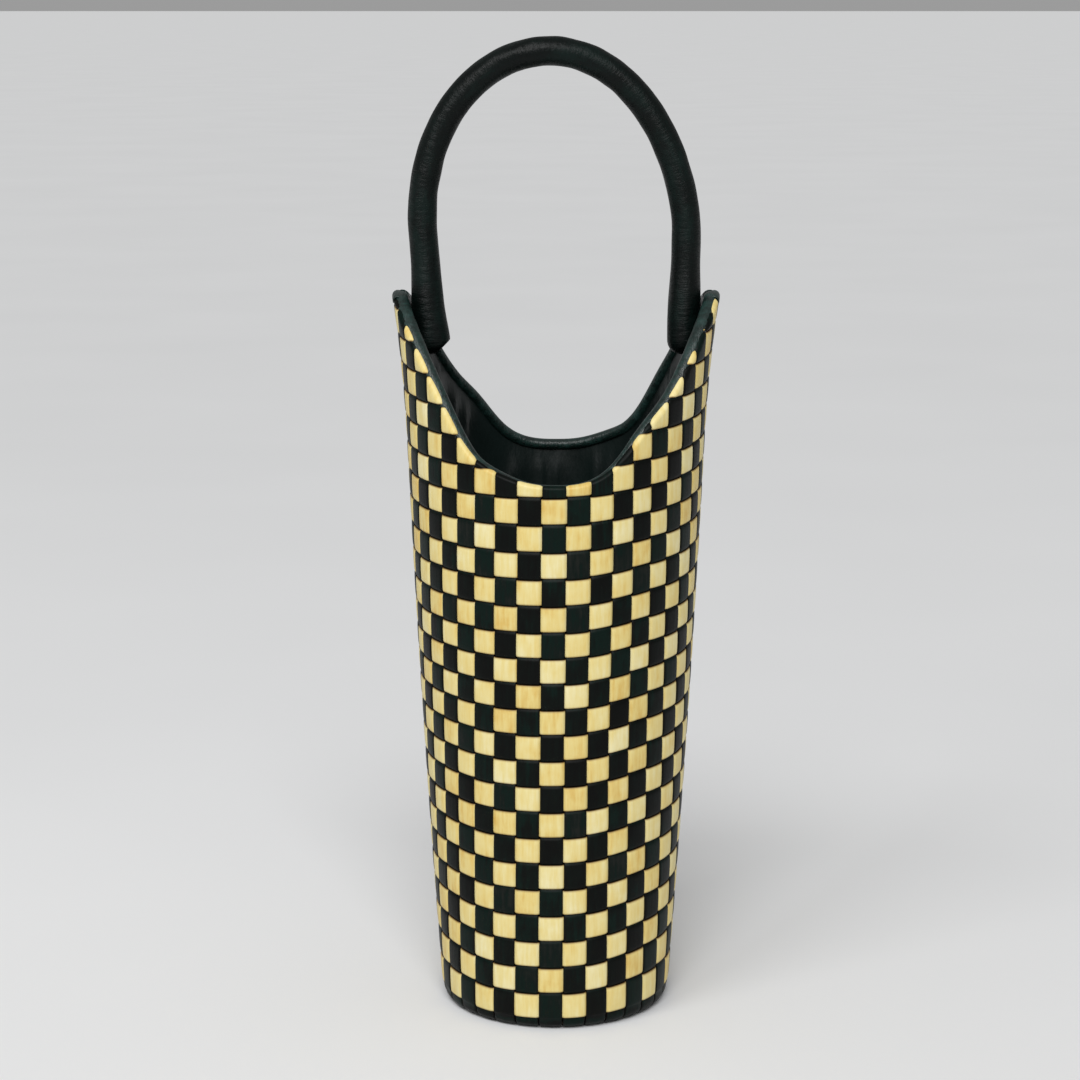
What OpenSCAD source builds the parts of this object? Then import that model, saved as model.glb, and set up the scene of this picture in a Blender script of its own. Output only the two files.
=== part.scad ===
// Woven wine gift bag: a tall tapering bag plaited from leather-like strips round a stiff
// interlining, with a satin lining, a stiff base and a padded loop handle sewn inside the two
// side peaks. Millimetres, +Z up, the front faces -Y, and the origin is at the base's centre.

/* [Bag body] */
// Outer radius of the weave where the bag stands on its base
base_r = 50; // [46:0.5:54]
// How fast the radius grows with height just above the base, in mm per mm
wall_slope = 0.0715; // [0.06:0.0005:0.08]
// How fast that slope dies away further up, in mm per square mm
wall_belly = 0.00006; // [0.00004:0.000005:0.00008]
// Height above which the side peaks flare outwards
flare_z = 255; // [250:1:270]
// Strength of that flare, in mm per square mm
flare_k = 0.00083; // [0.0004:0.00001:0.001]
// Radius of the rounded bottom edge
edge_r = 4.6; // [3:0.1:5]

/* [Rim] */
// Height of the rim at the middle of the front and of the back
rim_low = 246; // [240:1:250]
// How much higher the rim is at the side peaks
rim_rise = 75; // [65:1:80]
// Shape of the rim curve: higher is flatter at the middle and steeper at the sides
rim_power = 2.6; // [2:0.05:2.8]
// Half height of the roll that binds the rim's inner edge
binding_half_h = 1.3; // [1:0.1:1.6]
// Half thickness of that roll
binding_half_t = 1.3; // [0.7:0.05:1.5]

/* [Weave] */
// Width of one upright strip with its gap
column_pitch = 10.3; // [9.8:0.05:10.8]
// Height of one cross strip with its gap
row_pitch = 11.78; // [11.4:0.02:12.2]
// Height of the lowest cross strip's lower edge
first_row_z = 5.4; // [5:0.1:6]
// Gap between neighbouring upright strips
column_gap = 1.0; // [0.6:0.1:1.4]
// Gap between neighbouring cross strips
row_gap = 1.2; // [1:0.1:1.6]
// Thickness of every strip
strip_t = 0.5; // [0.4:0.05:0.65]

/* [Handle] */
// Diameter of the padded handle
handle_d = 12.8; // [11:0.1:14]
// Half the distance between the middles of the handle's two legs
arch_half_w = 57.3; // [55:0.1:58]
// Height of the arch above the point where the legs stop being straight
arch_h = 76.6; // [70:0.1:84]
// Height of that point
arch_z = 348; // [344:1:352]
// Distance of the sewn ends' middles from the bag's axis
end_x = 55.5; // [54:0.1:55.5]
// Height of the sewn ends' rounded bottoms
end_z = 295.5; // [293:0.5:298]
// Thickness of the flattened ends across the wall
end_t = 14.6; // [13:0.1:14.6]
// Width of the flattened ends along the wall
end_w = 18; // [15:0.5:20]
// Thickness of the handle's leather
leather_t = 1.1; // [0.8:0.1:1.5]
// Height of the thread tacks, about which the handle swings
pivot_z = 308; // [306:1:310]
// Radius of a thread tack
tack_r = 1.6; // [1.2:0.1:2]

/* [Base] */
// Thickness of the leather disc under the base
base_cover_t = 1; // [0.6:0.1:1.1]
// Thickness of the stiff board in the base
base_board_t = 2; // [1.5:0.1:2.1]

/* [Hidden] */
// Distance of each layer's outer face inside the weave's outer surface
over_depth = 0;
layer_gap = 0.2;
cross_depth = over_depth + strip_t + layer_gap;
under_depth = cross_depth + strip_t + layer_gap;
// How far a flat strip's edges stand out of the round wall, so that its middle lies nearly on it
edge_lift = 0.1;
stiff_depth = under_depth + strip_t + 0.15;
stiff_t = 0.8;
lining_depth = stiff_depth + stiff_t + 0.1;
lining_t = 0.3;
patch_depth = lining_depth + lining_t + 0.1;
patch_t = 0.6;
// Stepped heights at the base, bottom to top
clearance = 0.1;
board_z = base_cover_t + clearance;
floor_z = board_z + base_board_t + clearance;
stiff_z = floor_z + 0.1;
lining_z = floor_z + lining_t + clearance;
// The wall's own layers stop short of the rim, and the binding covers their cut edges
inner_trim = 2 * binding_half_h + 0.3;
seam_half_w = 1;
seam_clear = 0.3;
seam_angle = 1.6;
full_turn = 360;
peak_z = rim_low + rim_rise;
column_w = column_pitch - column_gap;
// The narrowest sliver of an upright strip, and the lowest of a cross strip, that is kept
min_strip_w = 1.5;
min_strip_h = 6;
// How far below the peaks the highest cross strip stops
peak_trim = 3;
rows = floor((peak_z - peak_trim - min_strip_h - first_row_z) / row_pitch + 1);
// How far past a row's edge a strip has finished crossing to the other side
cross_z = row_gap / 2 - 0.25;
above_all = peak_z + 40;
outside = base_r + 50;
cream = "#ead78c";
green = "#12211f";
satin = "#1c2b28";
card = "#8a7a5c";
thread = "#0d1614";

function two_digits(n) = n < 10 ? str("0", n) : str(n);
function row_name(j) = str("weft_row_", two_digits(j + 1));

// Outer radius of the wall at height z
function wall_r(z) = base_r + wall_slope * z - wall_belly * z * z
    + flare_k * pow(max(0, z - flare_z), 2);
// The same with the rounded bottom edge
function skin_r(z) = wall_r(z)
    - (z < edge_r ? edge_r - sqrt(edge_r * edge_r - pow(edge_r - z, 2)) : 0);
// Rim height at an angle from the middle of the front, and the angle where the rim is at z
function rim_z(a) = rim_low + rim_rise * pow(abs(sin(a)), rim_power);
function rim_angle(z) = z <= rim_low ? 0
    : asin(min(1, pow((z - rim_low) / rim_rise, 1 / rim_power)));
// Distance round the wall from the middle of the front to a given angle, and the reverse
function arc_u(a, z) = wall_r(z) * a * PI / 180;
function arc_a(u, z) = u / wall_r(z) * 180 / PI;
// Height where the line at distance u from the middle meets the rim
function rim_top(u, z = 300, n = 12) = n == 0 ? z
    : rim_top(u, rim_z(min(90, arc_a(u, z))), n - 1);
// Largest distance from the middle that a strip can have at height z, next to the side seam
function seam_u(z) = arc_u(90, z) - seam_half_w - seam_clear;
// Lowest height where the wall is wide enough for a strip's edge at distance u
function seam_start(u, z = 1) = z >= peak_z || seam_u(z) >= u ? z : seam_start(u, z + 1);

// Upright strips on each side of the middle one
columns = floor((seam_u(peak_z) - min_strip_w + column_w / 2) / column_pitch);

function row_of(z) = floor((z - first_row_z) / row_pitch);
function is_over(k, z) = (k + row_of(z) + 2) % 2 == 0;

// ---- Shared shapes ----

// Everything above the rim curve, lowered by drop, all the way through from front to back
module above_rim(drop) {
    step = 2.5;
    rotate([90, 0, 0])
        linear_extrude(2 * outside, center = true)
            polygon(concat(
                [[-outside, above_all], [-outside, peak_z - drop]],
                [for (a = [-90 : step : 90]) [wall_r(rim_z(a)) * sin(a), rim_z(a) - drop]],
                [[outside, peak_z - drop], [outside, above_all]]));
}

// A round shell that follows the wall: its outer face is depth inside the weave's
module wall_shell(depth, t, z0, z1, angle = full_turn) {
    step = 20;
    zs = concat([z0], [for (z = [step : step : peak_z]) if (z > z0 + 1 && z < z1 - 1) z], [z1]);
    rotate_extrude(angle = angle, $fn = 96)
        polygon(concat(
            [for (z = zs) [wall_r(z) - depth, z]],
            [for (i = [len(zs) - 1 : -1 : 0]) [wall_r(zs[i]) - depth - t, zs[i]]]));
}

// A closed tube through rings of equal length
module ring_loft(rings) {
    n = len(rings[0]);
    last = len(rings) - 1;
    polyhedron(
        points = [for (r = rings) each r],
        faces = concat(
            [[for (i = [0 : n - 1]) i]],
            [for (s = [0 : last - 1], i = [0 : n - 1]) each [
                [s * n + i, (s + 1) * n + i, (s + 1) * n + (i + 1) % n],
                [s * n + i, (s + 1) * n + (i + 1) % n, s * n + (i + 1) % n]]],
            [[for (i = [n - 1 : -1 : 0]) last * n + i]]));
}

module both_faces() {
    children();
    rotate([0, 0, 180]) children();
}

module both_sides() {
    children();
    mirror([1, 0, 0]) children();
}

// ---- Weave ----

// One upright strip of the front's right half, counted from the middle. It passes in front of
// and behind the cross strips in turn, and its edges stop at the rim and at the side seam.
module upright_strip(k) {
    lo = k * column_pitch - column_w / 2;
    hi = lo + column_w;
    tail = [0.4, 1.5, 3.2];
    top_z = k == 0 ? rim_top(0) : rim_top(hi - min_strip_w);
    start_z = seam_start(lo + min_strip_w);
    levels = concat(
        start_z <= 1 ? tail : [max(start_z, first_row_z)],
        [for (j = [0 : rows]) each [first_row_z + j * row_pitch - cross_z,
                                    first_row_z + j * row_pitch + cross_z]]);
    zs = concat([for (z = levels) if ((z >= start_z || z < 4) && z < top_z - 1) z], [top_z]);
    ring_loft([for (z = zs) strip_ring(k, lo, hi, z)]);
}

function strip_ring(k, lo, hi, z) =
    let (rim_u = arc_u(rim_angle(z), z),
         inner = k == 0 ? lo : max(lo, rim_u),
         outer = max(inner + 0.5, min(hi, seam_u(z))),
         depth = z < first_row_z ? under_depth : is_over(k, z) ? over_depth : under_depth,
         r = skin_r(z) - depth + edge_lift,
         a0 = arc_a(inner, z),
         a1 = arc_a(outer, z))
    [for (p = [[r, a0], [r, a1], [r - strip_t, a1], [r - strip_t, a0]])
        [p[0] * sin(p[1]), -p[0] * cos(p[1]), z]];

// The front's upright strips from first to last on one side
module strips(first, last) {
    for (k = [first : last]) upright_strip(k);
}

// One cross strip: a half hoop on the front and one on the back, cut at the rim. The highest
// one only has short pieces at the sides, which end square.
module cross_strip(j) {
    z0 = first_row_z + j * row_pitch + row_gap / 2;
    z1 = min(z0 + row_pitch - row_gap, peak_z - peak_trim);
    color(cream)
        both_faces()
            if (z1 < rim_low)
                hoop(z0, z1, 0);
            else if (z1 < peak_z - peak_trim)
                difference() {
                    hoop(z0, z1, 0);
                    above_rim(0.3);
                }
            else
                both_sides() hoop(z0, z1, rim_angle(z1) + seam_angle);
}

// The front's part of a hoop, from an angle each side of the middle to the side seams
module hoop(z0, z1, from) {
    start = from > 0 ? from : seam_angle - 90;
    rotate([0, 0, start - 90])
        rotate_extrude(angle = 90 - seam_angle - start, $fn = 96)
            polygon([for (p = [[cross_depth, z0], [cross_depth, z1],
                               [cross_depth + strip_t, z1], [cross_depth + strip_t, z0]])
                [wall_r(p[1]) - p[0], p[1]]]);
}

centre_last = 3;
module warps_front_centre() { color(green) { both_sides() strips(1, centre_last); strips(0, 0); } }
module warps_front_right() { color(green) strips(centre_last + 1, columns); }
module warps_front_left() { mirror([1, 0, 0]) warps_front_right(); }
module warps_back_centre() { rotate([0, 0, 180]) warps_front_centre(); }
module warps_back_right() { mirror([0, 1, 0]) warps_front_right(); }
module warps_back_left() { rotate([0, 0, 180]) warps_front_right(); }

// ---- Seams and rim ----

// A folded strip that closes the joint between the front and back panels
module side_seam_right() {
    zs = concat([edge_r], [for (z = [20 : 20 : peak_z - 20]) z], [peak_z - 0.6]);
    color(green)
        rotate([90, 0, 0])
            linear_extrude(2 * seam_half_w, center = true)
                polygon(concat(
                    [for (z = zs) [wall_r(z), z]],
                    [for (i = [len(zs) - 1 : -1 : 0]) [wall_r(zs[i]) - under_depth - strip_t, zs[i]]]));
}
module side_seam_left() { mirror([1, 0, 0]) side_seam_right(); }

// A point on the binding's middle line, at an angle from the middle of the front
function binding_point(a) =
    let (z = rim_z(a) - binding_half_h - 0.1,
         r = wall_r(z) - under_depth - strip_t - binding_half_t - 0.1)
    [r * sin(a), -r * cos(a), z];

module rim_binding_front() {
    sides = 8;
    first = -89;
    step = 89 / 24;
    color(green)
        ring_loft([for (s = [0 : 48])
            let (a = first + s * step, p = binding_point(a))
            [for (i = [0 : sides - 1])
                let (b = i * full_turn / sides)
                p + [binding_half_t * cos(b) * sin(a), -binding_half_t * cos(b) * cos(a),
                     binding_half_h * sin(b)]]]);
}
module rim_binding_back() { rotate([0, 0, 180]) rim_binding_front(); }

// Short stitches through the binding, standing a little out of its inner face
module rim_stitches() {
    color(thread)
        both_faces()
            for (a = [-85 : 5 : 85])
                let (p = binding_point(a))
                translate(p)
                    rotate([0, 0, a])
                        translate([0, binding_half_t + 0.3, 0])
                            cube([2.2, 0.4, 0.5], center = true);
}

// ---- Inside ----

module interlining() {
    color(thread)
        difference() {
            wall_shell(stiff_depth, stiff_t, stiff_z, peak_z);
            above_rim(inner_trim);
        }
}

module lining() {
    color(satin)
        difference() {
            wall_shell(lining_depth, lining_t, lining_z, peak_z);
            above_rim(inner_trim);
        }
}

module lining_floor() {
    color(satin)
        translate([0, 0, floor_z])
            cylinder(h = lining_t, r = wall_r(stiff_z) - stiff_depth - stiff_t - clearance, $fn = 96);
}

module base_board() {
    color(card)
        translate([0, 0, board_z])
            cylinder(h = base_board_t, r = base_r - edge_r, $fn = 96);
}

module base_cover() {
    color(green)
        cylinder(h = base_cover_t, r = base_r - edge_r - 0.2, $fn = 96);
}

// Stitches that hold the turned-in strips to the base cover, on the cover's upper face
module base_stitches() {
    count = 48;
    color(thread)
        for (i = [0 : count - 1])
            rotate([0, 0, i * full_turn / count])
                translate([base_r - edge_r + 0.08, 0, 0.8])
                    cube([0.34, 2.4, 0.36], center = true);
}

// ---- Handle fixings ----

// A leather patch sewn over the lining inside the peak
module handle_patch_right() {
    half_angle = 12;
    z0 = 290;
    z1 = 313.6;
    color(green)
        rotate([0, 0, -half_angle])
            wall_shell(patch_depth, patch_t, z0, z1, 2 * half_angle);
}
module handle_patch_left() { rotate([0, 0, 180]) handle_patch_right(); }

// The felt pad between the patch and the handle's end
pad_x = wall_r(pivot_z) - patch_depth - patch_t - 0.9;
pad_in_x = end_x + end_t / 2 + 0.3;
pad_r = 4.2;
module handle_pad_right() {
    color(thread)
        translate([pad_in_x, 0, pivot_z])
            rotate([0, 90, 0])
                cylinder(h = pad_x - pad_in_x, r = pad_r, $fn = 48);
}
module handle_pad_left() { rotate([0, 0, 180]) handle_pad_right(); }

// The bundle of tacking threads that the handle's end hangs on
tack_in_x = end_x - 2;
module handle_tack_right() {
    color(thread)
        translate([tack_in_x, 0, pivot_z])
            rotate([0, 90, 0])
                cylinder(h = pad_in_x - tack_in_x, r = tack_r, $fn = 32);
}
module handle_tack_left() { rotate([0, 0, 180]) handle_tack_right(); }

// ---- Handle ----

// The handle's middle line runs from one sewn end over the arch to the other, and its parameter
// goes from -1 to 1: a straight leg up to arch_z, then half an ellipse.
leg_part = 0.24;
function handle_point(t) =
    let (s = abs(t), side = t < 0 ? -1 : 1)
    s > 1 - leg_part
        ? let (f = (s - 1 + leg_part) / leg_part)
            [side * (arch_half_w + (end_x - arch_half_w) * sin(90 * f)), 0,
             arch_z - (arch_z - end_z) * f]
        : let (b = 90 * s / (1 - leg_part))
            [side * arch_half_w * sin(b), 0, arch_z + arch_h * cos(b)];
function handle_dir(t) =
    let (e = 0.002, d = handle_point(min(1, t + e)) - handle_point(max(-1, t - e)))
    d / norm(d);

// How far the section has turned from the round tube (0) into the flat end (1)
flat_from = 0.84;
flat_to = 0.93;
function smooth(x) = let (c = max(0, min(1, x))) c * c * (3 - 2 * c);
function flatness(t) = smooth((abs(t) - flat_from) / (flat_to - flat_from));
// The end's rounded bottom: the section shrinks to nothing over the last few millimetres
round_h = 7;
function end_shrink(t) =
    let (h = max(0.15, handle_point(t)[2] - end_z))
    abs(t) < flat_from || h > round_h ? 1 : sqrt(1 - pow(1 - h / round_h, 2));

function handle_ring(t, inset, sides) =
    let (d = handle_dir(t),
         n = [-d[2], 0, d[0]],
         f = flatness(t),
         k = end_shrink(t),
         half_t = (handle_d / 2 * (1 - f) + end_t / 2 * f) * k - inset,
         half_w = (handle_d / 2 * (1 - f) + end_w / 2 * f) * k - inset)
    [for (i = [0 : sides - 1])
        let (b = i * full_turn / sides)
        handle_point(t) + n * half_t * cos(b) + [0, half_w * sin(b), 0]];

// Where the sleeve and the cord stop and the folded leather tips begin
tip_from = 0.9;
sleeve_ts = concat([-tip_from, -0.87], [for (s = [-22 : 22]) s / 22 * flat_from], [0.87, tip_from]);
tip_ts = [0.902, 0.93, 0.955, 0.968, 0.978, 0.988, 0.995, 0.9985];
handle_sides = 12;

module tack_bore() {
    translate([tack_in_x - 0.5, 0, pivot_z])
        rotate([0, 90, 0])
            cylinder(h = end_t, r = tack_r + clearance, $fn = 32);
}

// The padding cord inside the handle
module handle_core() {
    color(card)
        ring_loft([for (t = sleeve_ts) handle_ring(t, leather_t + clearance, handle_sides)]);
}

// The leather sleeve round the cord
module handle_cover() {
    n = handle_sides;
    m = len(sleeve_ts);
    inner = m * n;
    points = concat([for (t = sleeve_ts) each handle_ring(t, 0, n)],
                    [for (t = sleeve_ts) each handle_ring(t, leather_t, n)]);
    function quad(a, b, c, d) = [[a, b, c], [a, c, d]];
    color(green)
        polyhedron(points = points, faces = concat(
            [for (s = [0 : m - 2], i = [0 : n - 1])
                let (a = s * n + i, b = s * n + (i + 1) % n)
                each concat(quad(a, a + n, b + n, b),
                            quad(inner + a, inner + b, inner + b + n, inner + a + n))],
            [for (e = [0, m - 1], i = [0 : n - 1])
                let (a = e * n + i, b = e * n + (i + 1) % n)
                each e == 0 ? quad(a, b, inner + b, inner + a) : quad(a, inner + a, inner + b, b)]));
}

// The flattened tips, where the sleeve's leather is folded over and sewn shut
module handle_tip_right() {
    color(green)
        difference() {
            ring_loft([for (t = tip_ts) handle_ring(t, 0, 16)]);
            tack_bore();
        }
}
module handle_tip_left() { rotate([0, 0, 180]) handle_tip_right(); }

// The seam that closes the sleeve runs along the inner side of the arch
module handle_stitches() {
    count = 30;
    color(thread)
        for (s = [-count : count])
            let (t = s / count * (flat_from - 0.04), d = handle_dir(t), p = handle_point(t))
            translate(p + [d[2], 0, -d[0]] * (handle_d / 2 + 0.22))
                rotate([0, -atan2(d[2], d[0]), 0])
                    cube([2.2, 0.5, 0.36], center = true);
}

for (j = [0 : rows - 1]) cross_strip(j);
warps_front_left();
warps_front_centre();
warps_front_right();
warps_back_left();
warps_back_centre();
warps_back_right();
side_seam_left();
side_seam_right();
rim_binding_front();
rim_binding_back();
rim_stitches();
interlining();
lining();
lining_floor();
base_board();
base_cover();
base_stitches();
handle_patch_left();
handle_patch_right();
handle_pad_left();
handle_pad_right();
handle_tack_left();
handle_tack_right();
handle_core();
handle_cover();
handle_tip_left();
handle_tip_right();
handle_stitches();
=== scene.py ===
"""Looks of a woven wine gift bag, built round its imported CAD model.

Lengths are in metres. The bag's wall is a surface of revolution whose front and back panels are
unrolled into flat cloth coordinates: u runs round the wall from the middle of the panel, v runs
up the strips, and d stands out of the wall. Every strip is laid out in those coordinates, and
place() rolls it back round the wall, over the rim and under the base.
"""
import math
import random

import bmesh
import bpy
import numpy as np
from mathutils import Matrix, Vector, noise


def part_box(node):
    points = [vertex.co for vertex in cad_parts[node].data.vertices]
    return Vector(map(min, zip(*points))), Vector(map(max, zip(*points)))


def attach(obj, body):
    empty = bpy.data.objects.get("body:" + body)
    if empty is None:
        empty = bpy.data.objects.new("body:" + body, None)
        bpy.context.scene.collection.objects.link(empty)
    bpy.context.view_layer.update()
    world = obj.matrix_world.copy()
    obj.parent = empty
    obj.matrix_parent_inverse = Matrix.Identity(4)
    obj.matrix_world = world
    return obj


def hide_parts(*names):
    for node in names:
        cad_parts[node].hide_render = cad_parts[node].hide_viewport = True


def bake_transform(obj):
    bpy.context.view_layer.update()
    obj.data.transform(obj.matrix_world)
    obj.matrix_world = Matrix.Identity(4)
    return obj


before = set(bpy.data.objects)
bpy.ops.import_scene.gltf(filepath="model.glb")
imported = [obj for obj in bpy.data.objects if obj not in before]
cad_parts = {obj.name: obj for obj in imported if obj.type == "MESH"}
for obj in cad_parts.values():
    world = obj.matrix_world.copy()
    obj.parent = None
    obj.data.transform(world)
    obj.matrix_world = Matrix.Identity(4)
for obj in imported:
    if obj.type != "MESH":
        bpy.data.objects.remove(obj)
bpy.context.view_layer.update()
MM = 0.001


# ---- Camera ----

SENSOR_W = 36
LENS = 91.7
CAMERA_AT = (0, -1.2, 0.445)
DEGREES_DOWN = 11.05
DEGREES_LEFT = 0.333
# The floor reaches nearly to the horizon, and the camera sees further
FLOOR_HALF_W = 150
FAR_CLIP = 400


def add_camera():
    """A long lens in front of the bag and a little above it, looking slightly down."""
    data = bpy.data.cameras.new("camera")
    data.sensor_width = SENSOR_W
    data.lens = LENS
    data.clip_end = FAR_CLIP
    camera = bpy.data.objects.new("camera", data)
    camera.location = CAMERA_AT
    camera.rotation_euler = (math.radians(90 - DEGREES_DOWN), 0, math.radians(DEGREES_LEFT))
    bpy.context.scene.collection.objects.link(camera)
    bpy.context.scene.camera = camera


add_camera()


# ---- Dimensions ----

row_names = sorted(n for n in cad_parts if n.startswith("weft_row_"))
ROWS = len(row_names)
first_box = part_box(row_names[0])
second_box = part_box(row_names[1])

# Rows of cross strips
ROW_GAP = 0.9 * MM
ROW_PITCH = second_box[0].z - first_box[0].z
FIRST_ROW_V = first_box[0].z - 0.6 * MM

# The wall's profile: its radius at the floor, slope, slight belly, the flare near its top, and
# the rounded edge where it turns under
BASE_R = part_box("base_cover")[1].x + 4.8 * MM
WALL_SLOPE = 0.0715
WALL_BELLY = 0.06
FLARE_Z = 0.255
FLARE = 0.83
EDGE_R = 4.6 * MM
BASE_LIFT = 1.0 * MM

# The rim, and the roll of the strips over it
RIM_LOW = 0.246
RIM_RISE = 0.075
RIM_POWER = 2.6
RIM_UNEVEN = 4.6 * MM
SHOULDER_AT = 0.61
SHOULDER_W = 0.19
ROLL_R = 0.9 * MM
ROLL_TUCK = 0.8 * MM
# The strips turn over this far below the rim, and the binding's top is the rim
ROLL_BELOW = 0.6 * MM

# Upright strips, and the wave and swelling of all strips
COLUMN_GAP = 0.35 * MM
STRIP_T = 0.7 * MM
WAVE = 0.42 * MM
CROWN = 0.16 * MM
PILLOW = 0.26 * MM
CROSSING = 1.15 * MM
LAST_COLUMN = 11
CENTRE_COLUMNS = 3
# Narrower or shorter ends of strips than these are left out
MIN_STRIP = 1.2 * MM
MIN_RINGS = 4
# Columns near the middle, whose strips end along the rim; further out the rim cuts them to points
LEVEL_COLUMNS = 4
SEAM_HALF_W = 1.2 * MM
# Heights of the rings where an upright strip turns under the base
TURN_UNDER = np.array([-9, -6, -4, -2.6, -1.4, -0.2, 1, 2.2, 3.4]) * MM


def wall_r(z):
    """The wall's radius at height z."""
    z = np.asarray(z, float)
    flare = np.maximum(0, z - FLARE_Z)
    return BASE_R + WALL_SLOPE * z - WALL_BELLY * z * z + FLARE * flare * flare


def wall_lean(z):
    """How fast the wall's radius grows with height."""
    return WALL_SLOPE - 2 * WALL_BELLY * z + 2 * FLARE * np.maximum(0, z - FLARE_Z)


def rim_z(angle):
    """The scooped rim, cut by hand: its right shoulder is a little higher than its left one."""
    shoulder = np.exp(-((np.abs(angle) - SHOULDER_AT) / SHOULDER_W) ** 2) * np.sign(angle)
    return RIM_LOW + RIM_RISE * np.abs(np.sin(angle)) ** RIM_POWER + RIM_UNEVEN * shoulder


def strip_end(z):
    """How far from the middle of a panel its strips reach: they end under the side seams."""
    return seam_u(z) - 0.6 * SEAM_HALF_W


def seam_u(z):
    """How far round the wall a side seam is from the middle of a panel."""
    return wall_r(z) * math.pi / 2


# ---- Cloth coordinates ----

# How the rows of a hand-woven panel run: an arch up towards both sides, a tilt, a further rise on
# each side, and a swell in the spacing of the rows up to SWELL_TOP
ROW_ARCH = 0.62
ROW_TILT = 0.018
RIGHT_RISE = 2.4 * MM
LEFT_RISE = 2.6 * MM
ROW_SWELL = 2.2 * MM
SWELL_TOP = 0.18
# How the columns run: their width at the floor, and how it closes with height; how far from the
# middle of the panel they start, and how they drift with height; how far they wander
COLUMN_PITCH, COLUMN_CLOSING = 10.38 * MM, 2.1 * MM
COLUMN_START, COLUMN_DRIFT = -2.3 * MM, 5 * MM
COLUMN_WANDER = 0.5 * MM


def ease(x):
    """A smooth step from 0 to 1."""
    x = np.clip(x, 0, 1)
    return x * x * (3 - 2 * x)


def height(u, v):
    """Height of a point of the cloth: its rows arch up towards the sides, tilt a little and are
    not quite evenly spaced, as on any hand-woven panel."""
    # The rows lie flatter near the base, and the sides' further rise fades towards the rim
    settle = 0.3 + 0.7 * ease(v / 0.03)
    arch = ROW_ARCH * u * u
    tilt = ROW_TILT * u
    right = RIGHT_RISE * ease((u / MM - 5) / 40) * (0.4 + 0.6 * ease((0.25 - v) / 0.05))
    left = LEFT_RISE * ease((-u / MM - 25) / 35) * np.clip((0.22 - v) / 0.22, 0, 1)
    swell = ROW_SWELL * np.sin(math.pi * np.clip((v - FIRST_ROW_V) / SWELL_TOP, 0, 1))
    return v + swell + (arch + tilt + left + right) * settle


def column_edge(i, z):
    """Where the boundary before column i lies at height z. Further up, the strips press closer
    together and drift to the right. They wander from side to side, and a few right of the middle
    lean."""
    pitch = COLUMN_PITCH - COLUMN_CLOSING * z
    drift = COLUMN_START + COLUMN_DRIFT * z
    wander = COLUMN_WANDER * math.sin(2 * math.pi * (i + 0.25) / 7)
    lean = MM * math.exp(-((i - 3.5) / 2.2) ** 2) * (1.5 * ease((z - 0.12) / 0.1) - 0.4)
    return drift + pitch * (i - 0.5) + wander + lean


RIM_ANGLES = np.linspace(-math.pi / 2 - 0.02, math.pi / 2 + 0.02, 901)
RIM_ZS = rim_z(RIM_ANGLES)
RIM_US = wall_r(RIM_ZS) * RIM_ANGLES
step_u = np.gradient(RIM_US)
step_z = np.gradient(RIM_ZS)
step = np.hypot(step_u, step_z)
# The direction across the rim, out of the cloth, at each of those points
ACROSS_U = -step_z / step
ACROSS_Z = step_u / step
# How far up the cloth reaches at each u, with the part that is rolled over the rim
CUT = (math.pi - 1) * ROLL_R + ROLL_TUCK - ROLL_BELOW
CUT_ZS = RIM_ZS + CUT * np.sqrt(1 + (step_z / step_u) ** 2)


def cut_z(u):
    """Height of the cloth's cut edge at each u."""
    return np.interp(u, RIM_US, CUT_ZS)


def cut_u(z, side):
    """How far out to the side (-1 or 1) the cut edge is at height z, or 0 below it."""
    half = len(RIM_US) // 2
    heights = CUT_ZS[half:] if side > 0 else CUT_ZS[half::-1]
    return np.interp(z, np.maximum.accumulate(heights), RIM_US[half:], left=0)


def cut_v(u):
    """How far up the strips' own direction the cloth reaches at each u near the middle."""
    z = cut_z(u)
    v = z - (height(u, z) - z)
    return v - (height(u, v) - z)


def wall_frame(u, z):
    """A point of the wall with the directions along it, up it and out of it."""
    r = wall_r(z)
    a = u / r
    lean = wall_lean(z)
    k = 1 / np.sqrt(1 + lean * lean)
    sin, cos, zero = np.sin(a), -np.cos(a), np.zeros_like(a)
    point = np.stack([r * sin, r * cos, z], -1)
    along = np.stack([-cos, sin, zero], -1)
    up = np.stack([lean * k * sin, lean * k * cos, k], -1)
    out = np.stack([k * sin, k * cos, -lean * k], -1)
    return point, along, up, out


def around(r, angle, z):
    """Points round the bag's axis. Angle 0 is the front and a quarter turn the right."""
    return np.stack(np.broadcast_arrays(r * np.sin(angle), -r * np.cos(angle), z), -1)


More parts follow.
